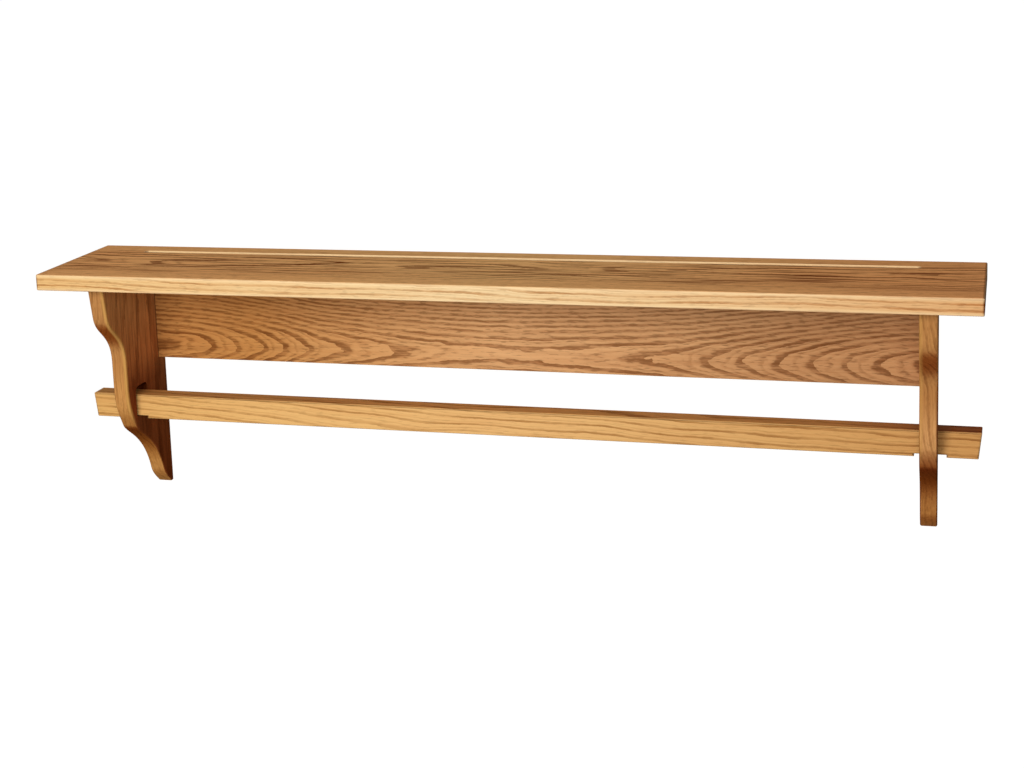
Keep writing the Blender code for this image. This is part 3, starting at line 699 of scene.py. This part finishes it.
def makeBracket(node, size, look):
    low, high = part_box(node)
    railLow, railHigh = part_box("quilt_rail")
    depth, height = -low.y, high.z - low.z
    play = size["slotPlay"] * mm
    back, front = -railHigh.y - play, -railLow.y + play
    floor = railLow.z + (size["notch"] - size["fit"]) * mm - high.z
    top = railHigh.z + size["slotHeadroom"] * mm - high.z
    outline = scrollOutline(size, depth, height, floor, front)
    eased = []
    for i, point in enumerate(outline):
        after = outline[(i + 1) % len(outline)]
        atWall = point.x < flush and after.x < flush
        atShelf = point.y > -flush and after.y > -flush
        eased.append(not atWall and not atShelf)
    hinge = Matrix.Translation((high.x, 0, 0))  # where it meets the wall
    toe = hinge @ Matrix.Rotation(radians(size["toeOut"]), 4, "Z") @ hinge.inverted()
    place = toe @ Matrix.Translation(((low.x + high.x) / 2, 0, high.z)) @ sideView
    half = (high.x - low.x) / 2
    lowCorner, highCorner = size["slotFloor"] * mm, size["slotTop"] * mm
    corners = [(back, floor, lowCorner), (front, floor, lowCorner)]
    corners += [(front, top, highCorner), (back, top, highCorner)]
    slot = roundCorners(corners, size["slotSteps"])[::-1]
    shape = newShape()
    reach = size["wornLitReach"] * mm
    wornLit = [(0, 0, 0), (1, reach, reach)]  # the inner rim is lightened: quilt wear with a painted highlight
    if low.x > 0:
        wornLit.reverse()
    rims = easedWall(shape, place, outline, half, size["rim"] * mm, eased=eased, wornLit=wornLit)
    litRub = shape.verts.layers.float["rubbedEdge"]
    start, full = size["wornLitAbove"]
    for vert in shape.verts:  # the lightening fades out towards the foot, below the slot's floor
        overSlot = (vert.co.z - high.z - floor) / mm
        vert[litRub] *= min(max((overSlot - start) / (full - start), 0), 1)
    slotRim = size["slotRim"] * mm
    # the slot's walls darken: soaked stain with painted shade in the slot
    slotRims = easedWall(shape, place, slot, half, slotRim, fineRimSteps, soak=1, wornLit=noneLitRubbed)
    for rim, cut in zip(rims, slotRims):
        fillFlat(shape, rim, cut)
    material = oakFinish("red_oak_" + node + "_satin", look, node)
    finishPiece("oak_" + node, shape, material, "shelf", node)


makeBracket("left_bracket", bracketShape, bracketOak)
rightShape = dict(bracketShape, toeOut=1.7)  # degrees out of square, as in the photograph
rightOak = dict(
    bracketOak, seed=(220, 130, 55), heart=(-27.6, 323.6), litRubShare=0.35,
    # its own painted shade: a dark band on the edge under the belly, and a darker lip and cove in the end
    # grain
    edgeTints=(
        (-220, "#DCC6A8"), (-150, "#F0DCC4"), (-128, "#CCA68C"), (-106, "#FFF8F8"), (-95, "#FFFBFF"),
        (-50, "#DACCC0"), (50, "#D8CABC"),
    ),
    endTints=((-226, "#F5E5DD"), (-190, "#D0A480"), (-160, "#B08460"), (-130, "#A8745A"), (10, "#DAA987")),
)
makeBracket("right_bracket", rightShape, rightOak)
print("brackets made")


# Back rail: a flat-sawn board whose heart comes nearest the face at both ends, so the cathedrals on its
# lower third point at each other
backRail = {**fits, "edge": 1.0, "plate": 1.6, "pocketSide": 1.0, "pocketDepth": 8.0, "steps": 10}
backRailOak = {
    **plainOak,
    "axes": (0, 2, 1), "seed": (77, 505, 31),
    "heart": (-39.9, -4.0), "slant": 0.006, "ring": 10.5, "crowding": 0.011,
    "swells": ((-463, 6), (-365, 15), (-245, 69), (-20, 95), (200, 78), (330, 42), (463, 0)),
    "sway": 12, "ripple": 5.2, "ragged": 1.4,
    "tight": 0.65, "tipTight": 0.7, "faintYear": 0.65, "faintStretch": 0.55,
    "figureBelt": (-40, 50), "bandShare": 0.8, "plainShare": 0.5, "edgeShare": 0.95,
    "flameShare": 0.1, "poreShare": 0.4, "edgePores": 0.4,
    "pale": "#E8BC88", "mid": "#D4A270", "edgeBand": "#90582C", "band": "#90582C", "pore": "#5F3A1A",
    # stain with painted light: the broad faces brighter in the middle; the ends darken as painted shade where
    # they meet the brackets
    "edgeTints": ((0, "#FFFFFF"),), "broadTints": ((-330, "#DEC49C"), (0, "#FFF8F2"), (330, "#E0D1C7")),
    "endTints": ((0, "#8A6450"),), "endShadeSoak": 0.5, "rubbed": "#E3B36A", "litRubShare": 0.3, "gloss": 0.05,
}


def cutRecess(shape, place, half, node, size):  # for a hanger, with a deeper pocket for the screw head
    plateLow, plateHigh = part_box(node)
    plate = plateHigh - plateLow
    centre = Vector(((plateLow.x + plateHigh.x) / 2, (plateLow.z + plateHigh.z) / 2))
    gap = 2 * size["fit"] * mm
    mouth = stadium(plate.x + gap, plate.z + gap, size["steps"], centre)
    sunk = (size["plate"] + size["fit"]) * mm
    wide = (size["entry"] + 2 * size["pocketSide"]) * mm
    tall = 2 * (size["entryFall"] + size["entry"] / 2 + size["pocketSide"]) * mm
    pocket = stadium(wide, tall, size["steps"], centre)
    recess = addLoop(shape, place, mouth, -half)
    floor = addLoop(shape, place, mouth, sunk - half)
    hollow = addLoop(shape, place, pocket, sunk - half)
    bottom = addLoop(shape, place, pocket, sunk + size["pocketDepth"] * mm - half)
    joinLoops(shape, recess, floor)
    joinLoops(shape, hollow, bottom)
    fillFlat(shape, floor, hollow)
    fillFlat(shape, bottom)
    return recess


def makeBackRail(size, look):
    low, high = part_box("back_rail")
    middle = (low + high) / 2
    place = Matrix.Translation((0, middle.y, 0)) @ frontView
    half = (high.y - low.y) / 2
    outline = [Vector(p) for p in ((low.x, low.z), (high.x, low.z), (high.x, high.z), (low.x, high.z))]
    shape = newShape()
    onlyBelow = [True, False, False, False]
    front, rear = easedWall(shape, place, outline, half, size["edge"] * mm, eased=onlyBelow)
    fillFlat(shape, front)
    recesses = [cutRecess(shape, place, half, node, size) for node in ("left_hanger", "right_hanger")]
    fillFlat(shape, rear, *recesses)
    material = oakFinish("red_oak_back_rail_satin", look, "back_rail")
    finishPiece("oak_back_rail", shape, material, "shelf", "back_rail")


makeBackRail(backRail, backRailOak)
print("back rail made")


# Quilt rail: a straight-grained stick, notched over the brackets, with ends that lean in
quiltRail = {**fits, "edge": 1.5, "corner": 1.0, "undercut": 3.5, "notchPlay": 7.5}
quiltRailOak = {
    **plainOak,
    "axes": (0, 1, 2), "seed": (640, 12, 88), "heart": (-190, -330), "lean": -0.045, "ring": 8.5,
    "swells": ((-527, -3.3), (-260, 1.2), (0, 4.0), (260, 1.2), (527, -3.3)),
    "sway": 24, "ripple": 2.2, "ragged": 0.9,
    "tight": 1.25, "faintYear": 0.6, "faintStretch": 0.4,
    "figureBelt": (-70, 400), "bandShare": 0.8, "plainShare": 0.8, "edgeShare": 0.8,
    "flameShare": 0.2, "poreShare": 0.15, "edgePores": 0.15,
    "pale": "#F0C380", "mid": "#E4B070", "edgeBand": "#9E6428", "band": "#96602A", "pore": "#6A3E18",
    # stain with painted light and shade: brighter in the middle, and darker at the right end, in the right
    # bracket's shadow
    "edgeTints": ((-520, "#F0E8D6"), (-330, "#F8F3EA"), (0, "#FCFBFC"), (330, "#ECE4DC"), (520, "#DFCDBC")),
    "broadTints": ((-520, "#E2D0B8"), (380, "#E2D0B8"), (500, "#B4805C"), (520, "#A8724E")),
    "endTints": ((0, "#A07860"),), "endShadeSoak": 0.8, "rubbed": "#F0C582", "litRubShare": 0.3, "gloss": 0.05,
}


def makeQuiltRail(size, look):
    low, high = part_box("quilt_rail")
    middle = (low + high) / 2
    bracketLow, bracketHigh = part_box("right_bracket")
    tall = high.z - low.z
    half = (high.x - low.x) / 2
    inner = bracketLow.x - size["notchPlay"] * mm
    outer = bracketHigh.x + size["notchPlay"] * mm
    notch, corner = size["notch"] * mm, size["corner"] * mm
    right = [
        (inner, 0, corner / 2), (inner, notch, 0), (outer, notch, 0), (outer, 0, corner / 2),
        (half - size["undercut"] * mm, 0, corner), (half, tall, corner),
    ]
    left = [(-x, y, radius) for x, y, radius in reversed(right)]
    outline = roundCorners(right + left, cornerSteps)
    place = Matrix.Translation((middle.x, middle.y, low.z)) @ frontView
    shape = newShape()
    rims = easedWall(shape, place, outline, (high.y - low.y) / 2, size["edge"] * mm)
    for rim in rims:
        fillFlat(shape, rim)
    material = oakFinish("red_oak_quilt_rail_satin", look, "quilt_rail")
    finishPiece("oak_quilt_rail", shape, material, "rail", "quilt_rail")


makeQuiltRail(quiltRail, quiltRailOak)
print("quilt rail made")


# Keyhole hangers: pressed plates let in flush behind, each with a round entry and a narrower slot above
hanger = {**fits, "slot": 5.0, "rise": 8.0, "edge": 0.35, "steps": 20}


def makeHanger(node, size, material):
    low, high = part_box(node)
    middle = (low + high) / 2
    entry, slot = size["entry"] / 2 * mm, size["slot"] / 2 * mm
    mouth = acos(slot / entry)
    hole = Vector((0, -size["entryFall"] * mm))
    upper = hole + Vector((0, size["rise"] * mm - slot))
    keyhole = arcPoints(hole, entry, pi - mouth, 2 * pi + mouth, size["steps"])
    keyhole += arcPoints(upper, slot, 0, pi, size["steps"] // 2)
    outline = stadium(high.x - low.x, high.z - low.z, size["steps"])
    place = Matrix.Translation(middle) @ frontView
    half = (high.y - low.y) / 2
    shape = newShape()
    rims = easedWall(shape, place, outline, half, size["edge"] * mm, fineRimSteps)
    holeRims = easedWall(shape, place, keyhole[::-1], half, size["edge"] * mm, fineRimSteps)
    for rim, holeRim in zip(rims, holeRims):
        fillFlat(shape, rim, holeRim)
    finishPiece("steel_" + node, shape, material, "shelf", node)


# Screws: flat countersunk heads with a cross recess
screw = {
    "shank": 3.0, "tip": 3.0, "rim": 0.25, "rimFall": 0.6, "rimTuck": 0.2,    # fall and tuck are shares of it
    "arm": 1.9, "armHalf": 0.42, "recess": 1.4, "taper": 0.45, "sides": 32,
}


def makeScrew(node, size, material):
    low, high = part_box(node)
    head = (high.x - low.x) / 2
    length = high.y - low.y
    shank, rim = size["shank"] / 2 * mm, size["rim"] * mm
    sink = head - shank
    outward = Matrix.Rotation(-pi / 2, 4, "X")   # the head looks out of the wall side
    place = Matrix.Translation(((low.x + high.x) / 2, high.y, (low.z + high.z) / 2)) @ outward
    profile = [
        (head - rim, 0), (head, -size["rimFall"] * rim), (head - size["rimTuck"] * rim, -rim),
        (shank, -sink), (shank, size["tip"] * mm - length), (pointed, -length),
    ]
    shape = newShape()
    turns = [2 * pi * i / size["sides"] for i in range(size["sides"])]
    rings = []
    for radius, level in profile:
        rings.append(addLoop(shape, place, [(radius * cos(a), radius * sin(a)) for a in turns], level))
    for upper, lower in zip(rings, rings[1:]):
        joinLoops(shape, upper, lower)
    fillFlat(shape, rings[-1])
    arm, wide = size["arm"] * mm, size["armHalf"] * mm
    cross = []
    for quarter in range(4):
        turn = Matrix.Rotation(quarter * pi / 2, 2)
        cross += [turn @ Vector(p) for p in ((arm, -wide), (arm, wide), (wide, wide))]
    mouth = addLoop(shape, place, cross, 0)
    bottom = addLoop(shape, place, [p * size["taper"] for p in cross], -size["recess"] * mm)
    joinLoops(shape, mouth, bottom)
    fillFlat(shape, bottom)
    fillFlat(shape, rings[0], mouth)
    finishPiece("steel_" + node, shape, material, "shelf", node)


plateSteel = platedSteel("steel_zinc_plated_pressed", zinc)
headSteel = platedSteel("steel_screw_bright_plated", screwSteel)
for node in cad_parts:
    if node.endswith("_hanger"):
        makeHanger(node, hanger, plateSteel)
    elif node.endswith("_screw"):
        makeScrew(node, screw, headSteel)
print("hangers and screws made")

birchDowel = birchFinish("birch_dowel_turned", birch)
for node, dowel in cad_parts.items():
    if node.endswith("_dowel"):
        dowel.data.materials.clear()
        dowel.data.materials.append(birchDowel)
print("dowels finished")

# Studio: a big soft light from the front left, weak ones beside the camera and behind, and far below a floor
# that looks white and throws little light back
studio = {
    "key": {"place": (-0.62, -2.6, 0.68), "size": 1.3, "power": 50.0, "gloss": True},
    "fill": {"place": (0.6, -2.3, 0.5), "size": 1.0, "power": 14.0, "gloss": False},
    "back": {"place": (-1.2, 2.4, 0.4), "size": 1.6, "power": 22.0, "gloss": False},
    "around": "#FFF3E6", "aroundLevel": 0.26,
    "floorDrop": 1.0, "floorReach": 40.0, "floorColour": "#77746F", "floorRough": 0.9, "floorGlow": 0.96,
}


def makeLight(name, look):
    data = bpy.data.lights.new(name, "AREA")
    data.shape = "DISK"
    data.size = look["size"]
    data.energy = look["power"]
    lamp = bpy.data.objects.new(name, data)
    lamp.visible_glossy = look["gloss"]
    scene.collection.objects.link(lamp)
    lamp.location = look["place"]
    lamp.rotation_euler = (-Vector(look["place"])).to_track_quat("-Z", "Y").to_euler()


def makeStudio(look):
    makeLight("front_softbox", look["key"])
    makeLight("side_softbox", look["fill"])
    makeLight("rear_softbox", look["back"])
    world = bpy.data.worlds.new("studio")
    scene.world = world
    world.use_nodes = True
    around = world.node_tree.nodes["Background"]
    around.inputs["Color"].default_value = hexColour(look["around"])
    around.inputs["Strength"].default_value = look["aroundLevel"]
    mesh = bpy.data.meshes.new("floor")
    reach = look["floorReach"]
    corners = ((-reach, -reach), (reach, -reach), (reach, reach), (-reach, reach))
    mesh.from_pydata([(x, y, -look["floorDrop"]) for x, y in corners], [], [(0, 1, 2, 3)])
    floor = bpy.data.objects.new("floor", mesh)
    scene.collection.objects.link(floor)
    material, tree, shader = newMaterial("floor_pale")
    shader.inputs["Base Color"].default_value = hexColour(look["floorColour"])
    shader.inputs["Roughness"].default_value = look["floorRough"]
    path = addNode(tree, "LightPath")
    seen = path.outputs["Is Camera Ray"]
    for ray in ("Is Glossy Ray", "Is Transmission Ray"):
        seen = addNode(tree, "Math", {"operation": "MAXIMUM"}, {0: seen, 1: path.outputs[ray]})
    glow = addNode(tree, "Math", {"operation": "MULTIPLY", 1: look["floorGlow"]}, {0: seen})
    shader.inputs["Emission Color"].default_value = (1, 1, 1, 1)
    tree.links.new(glow.outputs[0], shader.inputs["Emission Strength"])
    mesh.materials.append(material)


makeStudio(studio)
scene.view_settings.view_transform = "Standard"
print("studio lit")
